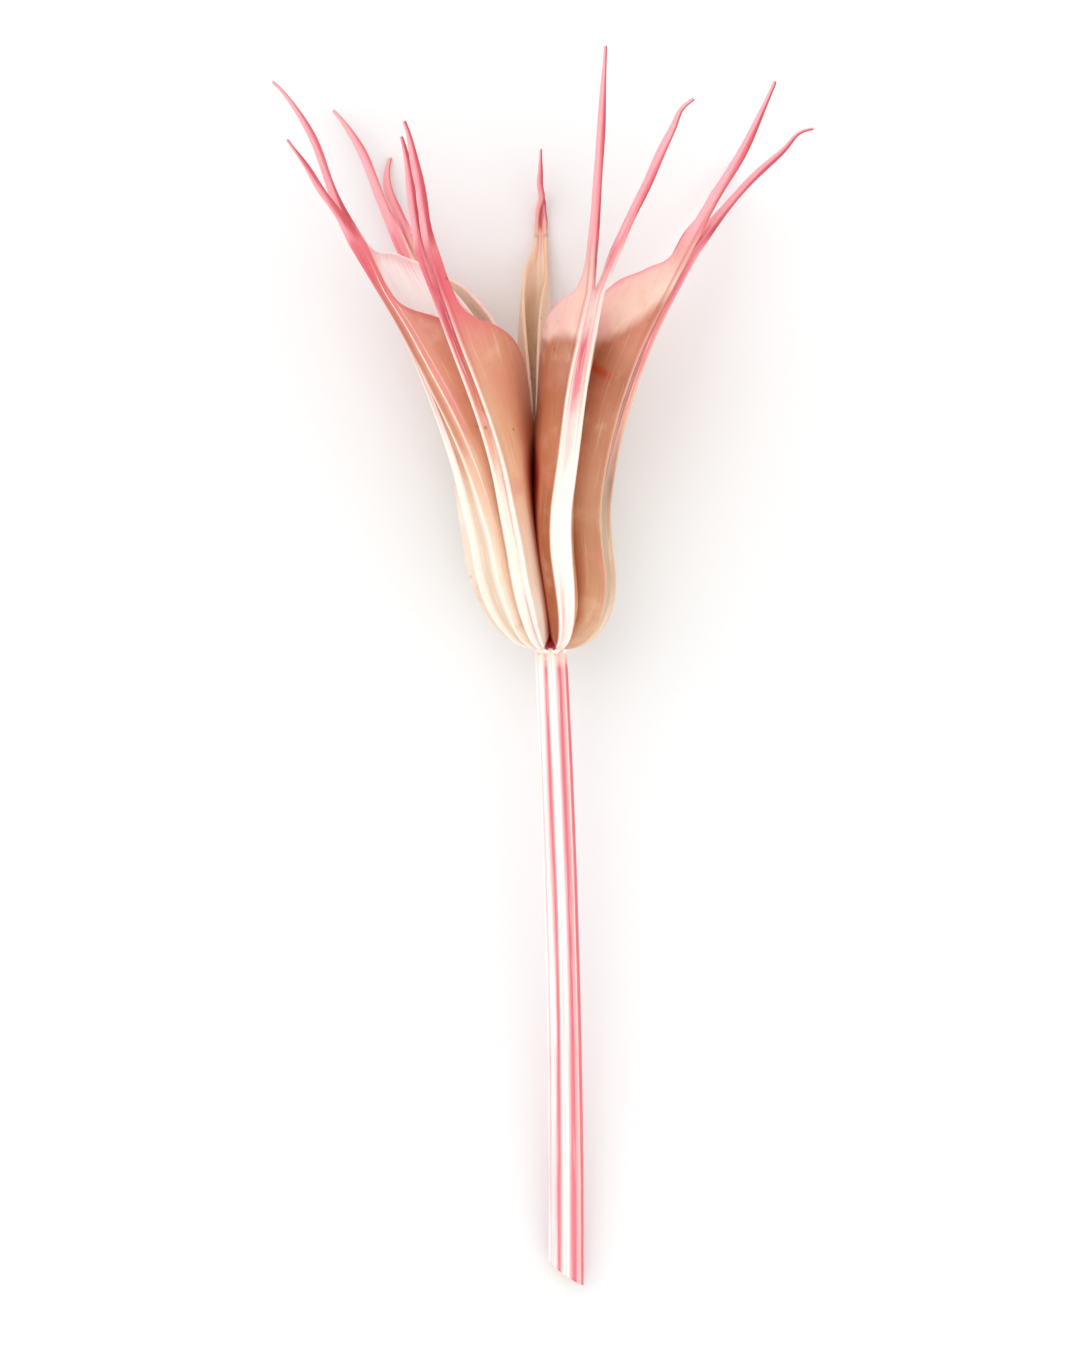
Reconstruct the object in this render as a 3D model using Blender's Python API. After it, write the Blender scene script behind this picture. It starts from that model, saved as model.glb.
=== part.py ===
"""Dried seed pod of an eastern love-in-a-mist on its cut stem, lying on a flat surface.

The pod is one capsule: seven keeled follicles round an axis, grown together in their
lower half and spreading above it. Each follicle is a thin trough. Its back is a narrow
stripe between two raised nerves, its two flanks run in to the pod's axis, and its
mouth is the open seam between their upper margins. The back splits near the top and
each half runs out into a long beak.

Pod frame, in millimetres: x to the right, a up the pod's axis from its base, and h
towards the side that faces up when the pod lies down. An azimuth is measured from h
towards x. The row frame is in metres: +Y up the pod, +Z up, the surface at Z = 0.
"""

import math

import bmesh
import bpy
import numpy as np
from mathutils import Matrix

MM = 0.001

# Points closer than this, in metres, are one point
SAME_POINT = 1e-7
SLIVER = 2e-6

# Driving sizes of the pod, in millimetres
BASE_RADIUS = 1.2
BODY_RADIUS = 6.5
BOWL_HEIGHT = 8.0
FLARE_DIVISOR = 77.5
STRAIGHT_FROM = 31.0
KEEL_TOP = 35.0
WALL = 0.6
WALL_SHARE_MOST = 0.45
STRIPE_HALF_BASE = 0.45
STRIPE_HALF_TOP = 0.6
STRIPE_HOLLOW = 0.14
NERVE_RAISE = 0.2
FUSE_OVERLAP = 0.3
FREE_GAP = 0.1
SUTURE_HALF = 0.6
SLIT_HALF = 0.12
LEAN = 1.4
LEAN_HEIGHT = 14.0

# The column that the follicles meet on, with the pod's seat on the stem: radius, height
SEAT = [(1.25, -0.1), (1.6, 0.15), (1.65, 0.8), (1.1, 2.2)]
CORE_RADIUS = 0.9
CORE_HEIGHTS = (4.0, 16.0, 7)
CORE_TOP = [(0.5, 18.6), (0.2, 19.2)]
CORE_SIDES = 14

# Shares of a follicle's length, from its base at 0 to the root of its beaks at 1: where
# the bowl ends and where the back splits, then from where to where other things happen
BOWL_SHARE = 0.25
SPLIT_SHARE = 0.91
NERVES_RISE = (0.0, 0.1)
STRIPE_WIDENS = (0.0, 0.2)
STRIPE_NARROWS = (0.6, 1.0)
BULGE_GROWS = (0.0, 0.16)
BULGE_FADES = (0.7, 1.0)
FLANKS_PART = (0.5, 0.56)
CREST_RISES = (0.6, 0.85)
CREST_DROPS = (0.88, 1.0)
MOUTH_OPENS = (0.55, 0.77)
MOUTH_CLOSES = (0.86, 1.0)
TURNS = (0.25, 0.85)

# The seam line of a follicle in its radial plane: share of length, radius, height
SEAM = np.array([
    (0.00, 0.55, 0.6),
    (0.50, 0.55, 18.6),
    (0.60, 1.9, 23.6),
    (0.70, 4.8, 28.0),
    (0.80, 8.6, 31.1),
    (0.88, 11.6, 32.2),
    (0.94, 13.2, 33.5),
    (1.00, 14.4, 35.9),
])

# Each follicle: azimuth at the base and at the top in degrees, how far it flares, the
# half-widths of its back stripe, and of the slit between its beaks at their root. For
# its side of lower azimuth, then its side of higher azimuth: how far the flank bulges,
# how high its margin stands over the seam line, the half-width of the mouth, and the
# beak's tip (x, a, h) with the sideways bow that the beak has before its tip
FOLLICLES = [
    dict(azimuth=(-48, -86), flare=1.0, stripe=1.3, split=0.2, sides=[
        dict(bulge=1.1, crest=2.0, mouth=2.2, tip=(-24.1, 49.4, 0.5), bow=(1.6, 1.2, 0.0)),
        dict(bulge=1.1, crest=-2.1, mouth=2.2, tip=(-22.7, 44.6, 5.0), bow=(0.4, -0.4, 0.5)),
    ]),
    dict(azimuth=(-18, -38), flare=0.95, stripe=0.6, split=0.12, sides=[
        dict(bulge=1.0, crest=-1.0, mouth=1.3, tip=(-12.7, 45.2, 14.0), bow=(0.3, 0.6, 0.0)),
        dict(bulge=0.75, crest=-2.4, mouth=1.8, tip=(-12.4, 46.6, 16.2), bow=(0.5, 0.6, 0.2)),
    ]),
    dict(azimuth=(17.5, 23), flare=0.95, stripe=0.9, split=0.6, sides=[
        dict(bulge=0.75, crest=-0.5, mouth=1.5, tip=(4.6, 53.0, 18.0), bow=(0.2, 0.3, 0.4)),
        dict(bulge=1.0, crest=-0.5, mouth=1.0, tip=(12.2, 48.4, 14.6), bow=(-0.2, 1.3, -0.4)),
    ]),
    dict(azimuth=(63, 60), flare=1.0, stripe=0.95, split=0.2, sides=[
        dict(bulge=1.1, crest=1.2, mouth=1.3, tip=(19.2, 49.7, 8.0), bow=(0.3, -0.6, 0.0)),
        dict(bulge=1.1, crest=0.4, mouth=1.1, tip=(22.8, 45.3, 2.5), bow=(-0.6, 1.3, 0.3)),
    ]),
    dict(azimuth=(120, 113), flare=0.95, stripe=1.05, split=0.2, sides=[
        dict(bulge=1.4, crest=0.2, mouth=1.1, tip=(18.5, 39.9, -10.0), bow=(0.1, 0.0, 0.0)),
        dict(bulge=1.4, crest=-0.8, mouth=1.2, tip=(16.4, 41.9, -12.2), bow=(0.1, 0.0, -0.2)),
    ]),
    dict(azimuth=(187, 178), flare=0.5, stripe=0.6, split=0.18, sides=[
        dict(bulge=1.0, crest=0.6, mouth=0.6, tip=(-0.7, 40.6, -11.4), bow=(0.6, 0.5, -0.3)),
        dict(bulge=1.0, crest=1.0, mouth=0.8, tip=(-1.2, 42.1, -9.2), bow=(0.4, 0.3, 0.0)),
    ]),
    dict(azimuth=(-110, -128), flare=0.92, stripe=1.05, split=0.2, sides=[
        dict(bulge=1.4, crest=0.0, mouth=1.2, tip=(-14.1, 42.3, -12.2), bow=(-1.5, -0.4, 0.0)),
        dict(bulge=1.4, crest=-0.8, mouth=1.0, tip=(-19.2, 46.5, -11.4), bow=(0.6, 1.4, -0.1)),
    ]),
]

# How finely the facets follow the shape
BODY_SHARES = np.array([0, 0.06, 0.125, 0.19, 0.25, 0.34, 0.43, 0.5, 0.56, 0.62,
                        0.68, 0.74, 0.8, 0.86, SPLIT_SHARE, 0.955, 1.0])
STRIPE_STEPS = [0.0, 0.6, 1.0]
FLANK_STEPS = [0.1, 0.3, 0.55, 0.8, 1.0]
INNER_STEPS = [1.0, 0.62, 0.3]
BEAK_STEPS = [0.12, 0.27, 0.45, 0.64, 0.82, 1.0]

# A beak's curve leaves its root over the first share of its reach and bows at the second
BEAK_HANDLES = (0.3, 0.7)
BEAK_TAPER = 0.8
BEAK_TIP_HALF = 0.3

# Stem, in millimetres
STEM_LENGTH = 55.0
STEM_RADIUS = 1.35
STEM_THICKENING = 0.12
STEM_RIDGES = 8
STEM_RIDGE_SHARE = 0.055
STEM_SIDES = 24
STEM_RINGS = 22
STEM_GAP = 0.4
STEM_BEND = (1.4, 0.9)
STEM_CUT_SLANT = 0.7
RECEPTACLE_FLARE = 0.38
RECEPTACLE_REACH = 1.1
STEM_EDGE_ROUNDING = 0.25
STEM_EDGE_REACH = 0.1
STEM_RIDGES_START = 1.5

POD_COLOUR = (0.78, 0.56, 0.42)
STEM_COLOUR = (0.80, 0.42, 0.46)
CREASE_ANGLE = math.radians(35)

# How the pod lies: the tilt of its axis, and the height of its base over the surface
LAY_ANGLE = math.radians(6.4)
LAY_HEIGHT = 7.6


def smooth(x):
    x = np.clip(x, 0.0, 1.0)
    return x * x * (3 - 2 * x)


def ramp(s, shares):
    """Rises smoothly from 0 to 1 between two shares of a follicle's length."""
    return smooth((s - shares[0]) / (shares[1] - shares[0]))


def lean(a):
    """How far the pod's axis stands to the left at height a."""
    return -LEAN * smooth(a / LEAN_HEIGHT)


def keel_line(s, flare):
    """Radius and height of the middle of a follicle's back: a quarter ellipse for the
    bowl, then a parabola, then its tangent."""
    turn = np.clip(s / BOWL_SHARE, 0, 1) * math.pi / 2
    rise = np.clip((s - BOWL_SHARE) / (1 - BOWL_SHARE), 0, 1) * (KEEL_TOP - BOWL_HEIGHT)
    radius = BASE_RADIUS + (BODY_RADIUS - BASE_RADIUS) * np.sin(turn)
    height = BOWL_HEIGHT * (1 - np.cos(turn)) + rise
    curved = np.minimum(rise, STRAIGHT_FROM - BOWL_HEIGHT)
    beyond = rise - curved
    slope = 2 * (STRAIGHT_FROM - BOWL_HEIGHT) / FLARE_DIVISOR
    radius = radius + flare * (curved**2 / FLARE_DIVISOR + slope * beyond)
    return radius, height


def seam_line(s, flare):
    """Radius and height of a follicle's seam, a smooth curve through SEAM."""
    drawn_in = 1 - 0.5 * (1 - min(flare, 1)) * ramp(s, (FLANKS_PART[0], 1.0))
    return hermite(s, SEAM[:, 0], SEAM[:, 1]) * drawn_in, hermite(s, SEAM[:, 0], SEAM[:, 2])


def hermite(s, knots, values):
    """A cubic through values at knots, with slopes that never overshoot."""
    steps = np.diff(values) / np.diff(knots)
    slopes = np.concatenate([[steps[0]], (steps[1:] + steps[:-1]) / 2, [steps[-1]]])
    slopes[1:-1] = np.where(steps[1:] * steps[:-1] > 0, slopes[1:-1], 0)
    i = np.clip(np.searchsorted(knots, s, side="right") - 1, 0, len(knots) - 2)
    width = knots[i + 1] - knots[i]
    u = (s - knots[i]) / width
    return (
        values[i] * (1 + 2 * u) * (1 - u) ** 2
        + slopes[i] * width * u * (1 - u) ** 2
        + values[i + 1] * u * u * (3 - 2 * u)
        + slopes[i + 1] * width * u * u * (u - 1)
    )


def half_rings(follicle, side, half_sector):
    """The rings of points round one half of a follicle, from its base to its beak's root.
    Each ring runs from the middle of the back over the nerve and the flank to the
    margin, and back along the inside."""
    s = BODY_SHARES[:, None]
    sign = (-1, 1)[side]
    facts = follicle["sides"][side]
    keel_r, keel_a = keel_line(s, follicle["flare"])
    seam_r, seam_a = seam_line(s, follicle["flare"])
    to_r, to_a = seam_r - keel_r, seam_a - keel_a
    depth = np.hypot(to_r, to_a)
    in_r, in_a = to_r / depth, to_a / depth
    wall = np.minimum(WALL, WALL_SHARE_MOST * depth)
    to_a = to_a + facts["crest"] * ramp(s, CREST_RISES) * (1 - ramp(s, CREST_DROPS))
    depth = np.hypot(to_r, to_a)

    stripe = STRIPE_HALF_BASE + (follicle["stripe"] - STRIPE_HALF_BASE) * ramp(s, STRIPE_WIDENS)
    stripe = stripe + (STRIPE_HALF_TOP - stripe) * ramp(s, STRIPE_NARROWS)
    bulge = facts["bulge"] * ramp(s, BULGE_GROWS) * (1 - ramp(s, BULGE_FADES))
    margin = SUTURE_HALF + (facts["mouth"] - SUTURE_HALF) * ramp(s, MOUTH_OPENS)
    margin = margin + (STRIPE_HALF_TOP - margin) * ramp(s, MOUTH_CLOSES)
    split = follicle["split"] * np.clip((s - SPLIT_SHARE) / (1 - SPLIT_SHARE), 0, 1)
    overlap = FUSE_OVERLAP - (FUSE_OVERLAP + FREE_GAP) * ramp(s, FLANKS_PART)

    def width_at(q):
        """Half-width of the outside at share q of the way in, kept to its sector."""
        wide = stripe + (margin - stripe) * smooth(q) + bulge * np.sin(math.pi * q**0.75)
        radius = keel_r + to_r * q
        return np.minimum(wide, np.maximum(radius, 0.5) * math.tan(half_sector) + overlap)

    # Points as (depth under the back, share of the way to the margin, half-width)
    none = 0 * s
    points = []
    for t in STRIPE_STEPS:
        hollow = STRIPE_HOLLOW * (1 - t) - NERVE_RAISE * t**4 * ramp(s, NERVES_RISE)
        points.append((hollow, none, stripe * t))
    for q in FLANK_STEPS:
        points.append((none, q + none, width_at(q)))
    for q in INNER_STEPS:
        inside = q + (1 - q) * wall / depth
        points.append((none, inside, np.maximum(width_at(inside) - WALL, SLIT_HALF)))
    points.append((wall, none, np.maximum(stripe - 0.8 * WALL, SLIT_HALF)))
    points.append((wall, none, none))
    d, q, w = [np.concatenate(column, axis=1) for column in zip(*points)]
    w = (w + split) * sign

    azimuth = np.radians(follicle["azimuth"][0] + np.diff(follicle["azimuth"]) * ramp(s, TURNS))
    r, a = keel_r + in_r * d + to_r * q, keel_a + in_a * d + to_a * q
    return np.stack([
        r * np.sin(azimuth) + w * np.cos(azimuth) + lean(a),
        a,
        r * np.cos(azimuth) - w * np.sin(azimuth),
    ], axis=2)


def bezier(points, u):
    p0, p1, p2, p3 = points
    return p0 * (1 - u) ** 3 + 3 * p1 * u * (1 - u) ** 2 + 3 * p2 * u * u * (1 - u) + p3 * u**3


def beak_rings(ring, before, tip, bow):
    """Rings along a beak, from the last ring of its half to the tip. The section shrinks
    and rounds off, and keeps its turn as it is carried along the curve."""
    root = ring.mean(axis=0)
    heading = root - before.mean(axis=0)
    heading = heading / np.linalg.norm(heading)
    tip = np.array(tip, float)
    reach = np.linalg.norm(tip - root)
    start = (heading + (tip - root) / reach) / 2
    leave = root + start * reach * BEAK_HANDLES[0]
    line = (root, leave, root + (tip - root) * BEAK_HANDLES[1] + np.array(bow), tip)
    inward = ring[len(STRIPE_STEPS) + len(FLANK_STEPS) - 1] - ring[0]
    inward = inward - heading * (inward @ heading)
    inward = inward / np.linalg.norm(inward)
    across = np.cross(heading, inward)
    flat = np.stack([(ring - root) @ inward, (ring - root) @ across], axis=1)
    root_half = np.abs(flat).max(axis=0)
    flat = flat / root_half
    after = np.roll(flat, -1, axis=0)
    way = np.sign(np.sum(flat[:, 0] * after[:, 1] - flat[:, 1] * after[:, 0]))
    turns = np.arctan2(flat[0, 1], flat[0, 0]) + way * 2 * np.pi * np.arange(len(ring)) / len(ring)
    circle = np.stack([np.cos(turns), np.sin(turns)], axis=1)
    rings = []
    for u in BEAK_STEPS:
        ahead = bezier(line, min(u + 0.01, 1.0)) - bezier(line, u - 0.01)
        ahead = ahead / np.linalg.norm(ahead)
        inward = inward - ahead * (inward @ ahead)
        inward = inward / np.linalg.norm(inward)
        across = np.cross(ahead, inward)
        half_depth, half_width = root_half + (BEAK_TIP_HALF - root_half) * u**BEAK_TAPER
        shape = flat + (circle - flat) * smooth(u * 2)
        rings.append(
            bezier(line, u)
            + shape[:, :1] * half_depth * inward
            + shape[:, 1:] * half_width * across
        )
    return np.array(rings)


def follicle_mesh(follicle, half_sectors):
    """One follicle as a closed mesh: its two halves, joined down the back below the split."""
    bm = bmesh.new()
    joined = int((BODY_SHARES <= SPLIT_SHARE).sum())
    for side in (0, 1):
        body = half_rings(follicle, side, half_sectors[side])
        facts = follicle["sides"][side]
        beak = beak_rings(body[-1], body[-2], facts["tip"], facts["bow"])
        rings = np.concatenate([body, beak])
        verts = [[bm.verts.new(p * MM) for p in ring] for ring in rings]
        count = len(verts[0])
        for i in range(len(verts) - 1):
            for j in range(count):
                k = (j + 1) % count
                if k or i + 1 >= joined:
                    bm.faces.new((verts[i][j], verts[i][k], verts[i + 1][k], verts[i + 1][j]))
        for end in (verts[0], verts[-1]):
            bm.faces.new(end)
    bmesh.ops.remove_doubles(bm, verts=bm.verts, dist=SAME_POINT)
    bmesh.ops.triangulate(bm, faces=bm.faces)
    bmesh.ops.recalc_face_normals(bm, faces=bm.faces)
    return bm


def turned_mesh(profile, sides):
    """A closed solid turned about the pod's axis, from (radius, height) pairs."""
    bm = bmesh.new()
    rings = []
    for radius, height in profile:
        turns = [2 * math.pi * (i + 0.5) / sides for i in range(sides)]
        middle = float(lean(height))
        rings.append([
            bm.verts.new(((middle + radius * math.sin(t)) * MM, height * MM, radius * math.cos(t) * MM))
            for t in turns
        ])
    for low, high in zip(rings, rings[1:]):
        for j in range(sides):
            k = (j + 1) % sides
            bm.faces.new((low[j], low[k], high[k], high[j]))
    bm.faces.new(rings[0])
    bm.faces.new(rings[-1])
    bmesh.ops.recalc_face_normals(bm, faces=bm.faces)
    return bm


def stem_mesh():
    """The ridged stem: rings along a gentle bend, wider under the pod and cut aslant."""
    bm = bmesh.new()
    along = np.concatenate([[0.0, 0.004, 0.012, 0.03], np.linspace(0.06, 1.0, STEM_RINGS - 4)])
    turns = 2 * np.pi * np.arange(STEM_SIDES) / STEM_SIDES
    rings = []
    for v in along:
        drop = v * STEM_LENGTH
        flare = RECEPTACLE_FLARE * math.exp(-((drop / RECEPTACLE_REACH) ** 2))
        edge = STEM_EDGE_ROUNDING * math.exp(-drop / STEM_EDGE_REACH)
        radius = STEM_RADIUS + STEM_THICKENING * v + flare - edge
        ridge = 1 + STEM_RIDGE_SHARE * np.cos(STEM_RIDGES * turns) * smooth(drop / STEM_RIDGES_START)
        slant = STEM_CUT_SLANT * smooth((v - 0.9) * 10) * np.sin(turns) * radius
        x = STEM_BEND[0] * v * (2 - v) + radius * ridge * np.sin(turns)
        h = STEM_BEND[1] * 4 * v * (1 - v) + radius * ridge * np.cos(turns)
        a = -STEM_GAP - drop - slant
        rings.append([bm.verts.new((p, q, r)) for p, q, r in zip(x * MM, (a + 0 * x) * MM, h * MM)])
    for low, high in zip(rings, rings[1:]):
        for j in range(STEM_SIDES):
            k = (j + 1) % STEM_SIDES
            bm.faces.new((low[j], low[k], high[k], high[j]))
    bm.faces.new(rings[0])
    bm.faces.new(rings[-1])
    bmesh.ops.recalc_face_normals(bm, faces=bm.faces)
    return bm


def dried_skin(name, colour, roughness):
    material = bpy.data.materials.new(name)
    material.use_nodes = True
    shader = material.node_tree.nodes["Principled BSDF"]
    shader.inputs["Base Color"].default_value = (*colour, 1)
    shader.inputs["Roughness"].default_value = roughness
    shader.inputs["Metallic"].default_value = 0.0
    return material


def object_of(name, bm, collection, material=None):
    mesh = bpy.data.meshes.new(name)
    bm.to_mesh(mesh)
    bm.free()
    obj = bpy.data.objects.new(name, mesh)
    collection.objects.link(obj)
    if material:
        mesh.materials.append(material)
    return obj


def half_sectors_of(index):
    """Half the angle from a follicle to the next one on each side of it."""
    here = FOLLICLES[index]["azimuth"][0]
    before = FOLLICLES[index - 1]["azimuth"][0]
    after = FOLLICLES[(index + 1) % len(FOLLICLES)]["azimuth"][0]
    return [math.radians((here - before) % 360 / 2), math.radians((after - here) % 360 / 2)]


def build_pod(material):
    """The follicles and the column that they meet on, joined in one solid."""
    scene = bpy.context.scene.collection
    column = SEAT + [(CORE_RADIUS, a) for a in np.linspace(*CORE_HEIGHTS)] + CORE_TOP
    pod = object_of("seed_pod", turned_mesh(column, CORE_SIDES), scene, material)
    pieces = bpy.data.collections.new("follicles")
    scene.children.link(pieces)
    for index, follicle in enumerate(FOLLICLES):
        object_of(f"follicle_{index}", follicle_mesh(follicle, half_sectors_of(index)), pieces)
    union = pod.modifiers.new("grown_together", "BOOLEAN")
    union.operation = "UNION"
    union.operand_type = "COLLECTION"
    union.collection = pieces
    union.solver = "EXACT"
    bpy.context.view_layer.update()
    graph = bpy.context.evaluated_depsgraph_get()
    joined = bpy.data.meshes.new_from_object(pod.evaluated_get(graph))
    pod.modifiers.clear()
    pod.data = joined
    for piece in list(pieces.objects):
        bpy.data.objects.remove(piece)
    bpy.data.collections.remove(pieces)
    joined.materials.clear()
    joined.materials.append(material)
    return pod


def lay_down(obj):
    """Lays a piece on the surface and flattens the small spots where it touches it."""
    place = Matrix.Translation((0, 0, LAY_HEIGHT * MM)) @ Matrix.Rotation(LAY_ANGLE, 4, "X")
    bm = bmesh.new()
    bm.from_mesh(obj.data)
    bmesh.ops.transform(bm, matrix=place, verts=bm.verts)
    bmesh.ops.remove_doubles(bm, verts=bm.verts, dist=SLIVER)
    everything = bm.verts[:] + bm.edges[:] + bm.faces[:]
    cut = bmesh.ops.bisect_plane(
        bm, geom=everything, plane_co=(0, 0, 0), plane_no=(0, 0, 1), clear_inner=True
    )
    edges = [e for e in cut["geom_cut"] if isinstance(e, bmesh.types.BMEdge)]
    bmesh.ops.holes_fill(bm, edges=edges)
    bm.to_mesh(obj.data)
    bm.free()


def centre(objects):
    """Moves the pieces so that the middle of their box stands over the row's origin."""
    corners = np.array([v.co for obj in objects for v in obj.data.vertices])
    middle = (corners.min(axis=0) + corners.max(axis=0)) / 2
    for obj in objects:
        obj.data.transform(Matrix.Translation((-middle[0], -middle[1], 0)))


def main():
    for obj in list(bpy.data.objects):
        bpy.data.objects.remove(obj)
    pod = build_pod(dried_skin("dried_pod", POD_COLOUR, 0.5))
    stem = object_of("stem", stem_mesh(), bpy.context.scene.collection,
                     dried_skin("dried_stem", STEM_COLOUR, 0.5))
    for obj in (pod, stem):
        lay_down(obj)
        obj.data.shade_smooth()
        obj.data.set_sharp_from_angle(angle=CREASE_ANGLE)
    centre((pod, stem))


main()
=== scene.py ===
import math
import bmesh
import bpy
import numpy as np
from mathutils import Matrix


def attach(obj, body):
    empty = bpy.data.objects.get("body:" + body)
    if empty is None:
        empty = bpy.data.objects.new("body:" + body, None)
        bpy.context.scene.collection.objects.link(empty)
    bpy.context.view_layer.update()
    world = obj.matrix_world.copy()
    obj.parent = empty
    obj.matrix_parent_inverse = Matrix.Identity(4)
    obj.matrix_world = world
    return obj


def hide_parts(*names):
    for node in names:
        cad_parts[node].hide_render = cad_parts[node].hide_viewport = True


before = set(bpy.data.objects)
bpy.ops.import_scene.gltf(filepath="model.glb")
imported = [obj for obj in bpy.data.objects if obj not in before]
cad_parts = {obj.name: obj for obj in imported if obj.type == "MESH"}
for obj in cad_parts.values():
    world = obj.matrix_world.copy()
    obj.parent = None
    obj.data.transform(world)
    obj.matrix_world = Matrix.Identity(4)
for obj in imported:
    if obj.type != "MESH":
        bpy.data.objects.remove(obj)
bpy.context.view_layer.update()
mm = 0.001
print("frame loaded:", sorted(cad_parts))


# Small helpers

def smooth(x):
    # 0 below 0, 1 above 1, and a soft S between them
    x = np.clip(x, 0.0, 1.0)
    return x * x * (3 - 2 * x)


def ramp(s, shares):
    # the same S, between two shares of a follicle's length
    return smooth((s - shares[0]) / (shares[1] - shares[0]))


def bell(x, width):
    # 1 at x = 0, falling off on both sides
    return np.exp(-((x / width) ** 2))


def softMin(a, b, blend):
    # the smaller of two lengths, rounded over where they cross
    h = np.clip(0.5 + 0.5 * (b - a) / blend, 0.0, 1.0)
    return b + (a - b) * h - blend * h * (1 - h)


def unit(v):
    return v / np.linalg.norm(v, axis=-1, keepdims=True)


def hermite(s, knots, values):
    # a cubic through values at knots whose slopes never overshoot
    steps = np.diff(values) / np.diff(knots)
    slopes = np.concatenate([[steps[0]], (steps[1:] + steps[:-1]) / 2, [steps[-1]]])
    slopes[1:-1] = np.where(steps[1:] * steps[:-1] > 0, slopes[1:-1], 0)
    i = np.clip(np.searchsorted(knots, s, side="right") - 1, 0, len(knots) - 2)
    width = knots[i + 1] - knots[i]
    u = (s - knots[i]) / width
    return (values[i] * (1 + 2 * u) * (1 - u) ** 2 + slopes[i] * width * u * (1 - u) ** 2
            + values[i + 1] * u * u * (3 - 2 * u) + slopes[i + 1] * width * u * u * (u - 1))


def ripple(x, y, seed):
    # gentle unevenness between -1 and 1: four crossing waves whose turns come from the seed
    draw = np.random.default_rng(seed)
    total = 0.0
    for strength in (0.4, 0.27, 0.2, 0.13):
        fx, fy = draw.uniform(-1, 1, 2)
        total = total + strength * np.sin(fx * x + fy * y + draw.uniform(0, 2 * np.pi))
    return total


def putMesh(name, points, faces, layers, material):
    # points in metres, faces as index rows of 3 or 4, layers as one value or vector a point
    mesh = bpy.data.meshes.new(name)
    mesh.from_pydata(points, [], [row for part in faces for row in part.tolist()])
    for key, values in layers.items():
        vector = values.ndim == 2
        layer = mesh.attributes.new(key, "FLOAT_VECTOR" if vector else "FLOAT", "POINT")
        layer.data.foreach_set("vector" if vector else "value", values.astype(np.float32).ravel())
    bm = bmesh.new()
    bm.from_mesh(mesh)
    bmesh.ops.recalc_face_normals(bm, faces=bm.faces)
    bm.to_mesh(mesh)
    bm.free()
    mesh.shade_smooth()
    mesh.materials.append(material)
    piece = bpy.data.objects.new(name, mesh)
    bpy.context.scene.collection.objects.link(piece)
    return piece


# Shader writing

class Wire:
    # one output of a node; arithmetic on it adds Math nodes to the same material
    def __init__(self, kit, socket):
        self.kit, self.socket = kit, socket

    def sums(self, operation, a, b=0.0):
        return self.kit.node("ShaderNodeMath", {"operation": operation}, {0: a, 1: b})

    def __add__(self, other):
        return self.sums("ADD", self, other)

    def __radd__(self, other):
        return self.sums("ADD", other, self)

    def __sub__(self, other):
        return self.sums("SUBTRACT", self, other)

    def __rsub__(self, other):
        return self.sums("SUBTRACT", other, self)

    def __mul__(self, other):
        return self.sums("MULTIPLY", self, other)

    def __rmul__(self, other):
        return self.sums("MULTIPLY", other, self)

    def __truediv__(self, other):
        return self.sums("DIVIDE", self, other)

    def __abs__(self):
        return self.sums("ABSOLUTE", self)


class Kit:
    # the nodes of one material
    def __init__(self, name):
        self.material = bpy.data.materials.new(name)
        self.material.use_nodes = True
        self.tree = self.material.node_tree
        self.shader = self.tree.nodes["Principled BSDF"]

    def node(self, kind, settings=None, values=None, out=0):
        made = self.tree.nodes.new(kind)
        for key, value in (settings or {}).items():
            if key == "stops":
                row = made.color_ramp.elements
                for place, colour in value[1:-1]:
                    row.new(place).color = colour
                row[0].position, row[0].color = value[0]
                row[-1].position, row[-1].color = value[-1]
            else:
                setattr(made, key, value)
        for key, value in (values or {}).items():
            if isinstance(value, Wire):
                self.tree.links.new(value.socket, made.inputs[key])
            else:
                made.inputs[key].default_value = value
        return Wire(self, made.outputs[out])

    def read(self, name, vector=False):
        return self.node("ShaderNodeAttribute", {"attribute_name": name}, out=1 if vector else 2)

    def step(self, x, low, high):
        # 0 where x is at low, 1 where it is at high, soft between them
        return self.node("ShaderNodeMapRange", {"interpolation_type": "SMOOTHSTEP"},
                         {"Value": x, "From Min": low, "From Max": high})

    def near(self, x, centre, half):
        # 1 where x is at the centre, 0 from half away
        return self.step(abs(x - centre), half, 0.0)

    def blend(self, a, b, share, how="MIX"):
        return self.node("ShaderNodeMix", {"data_type": "RGBA", "blend_type": how},
                         {0: share, 6: a, 7: b}, out=2)

    def stops(self, x, stops):
        return self.node("ShaderNodeValToRGB", {"stops": stops}, {0: x})

    def noise(self, where, scale, detail=2.0, rough=0.5):
        return self.node("ShaderNodeTexNoise", {}, {"Vector": where, "Scale": scale,
                         "Detail": detail, "Roughness": rough})

    def stretch(self, where, scale, place=(0, 0, 0)):
        return self.node("ShaderNodeMapping", {}, {0: where, 1: place, 3: scale})

    def bump(self, height, strength, distance):
        return self.node("ShaderNodeBump", {}, {"Height": height, "Strength": strength,
                         "Distance": distance})

    def finish(self, colour, roughness, normal, settings):
        for key, value in (("Base Color", colour), ("Roughness", roughness), ("Normal", normal)):
            self.tree.links.new(value.socket, self.shader.inputs[key])
        for key, value in settings.items():
            self.shader.inputs[key].default_value = value
        return self.material


def tint(red, green, blue):
    # a colour as the eye reads it, from 0 to 255, turned into the light that it gives back
    def linear(c):
        c = c / 255
        return c / 12.92 if c <= 0.04045 else ((c + 0.055) / 1.055) ** 2.4
    return (linear(red), linear(green), linear(blue), 1.0)


# The pod's form, in millimetres

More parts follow.
